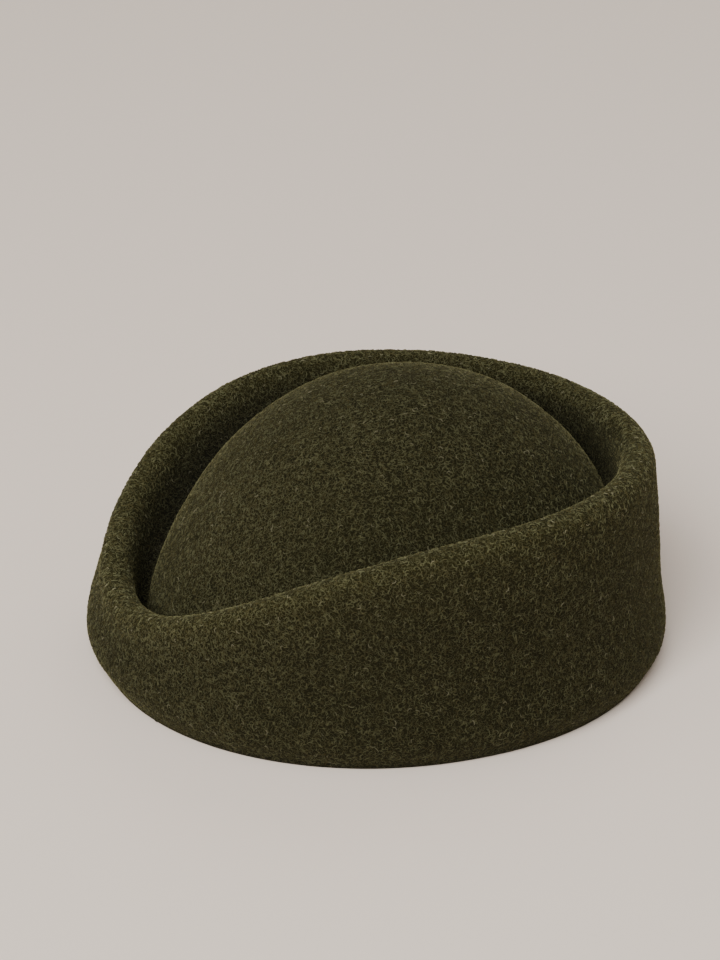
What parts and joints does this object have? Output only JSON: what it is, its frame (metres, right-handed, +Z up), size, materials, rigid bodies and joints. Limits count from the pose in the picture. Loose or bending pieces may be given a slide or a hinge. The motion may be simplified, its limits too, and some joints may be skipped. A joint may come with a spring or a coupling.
{
  "type": "blocked felt hat with rolled rim and domed crown",
  "caption": "Small brimless felt hat: a side band rolled over at a rim that dips low at the front, with a groove inside it and a domed, egg-shaped crown.",
  "frame": {"origin": "on the surface that the hem stands on, below the middle of the whole hat", "axes": "+Z up, +Y towards the back of the hat, +X towards the wearer's left"},
  "size_m": [0.1908, 0.1984, 0.0955],
  "materials": {
    "olive_felt": "dull, short-napped wool felt"
  },
  "bodies": {
    "root": {"felt_shell": "olive_felt"}
  },
  "joints": []
}
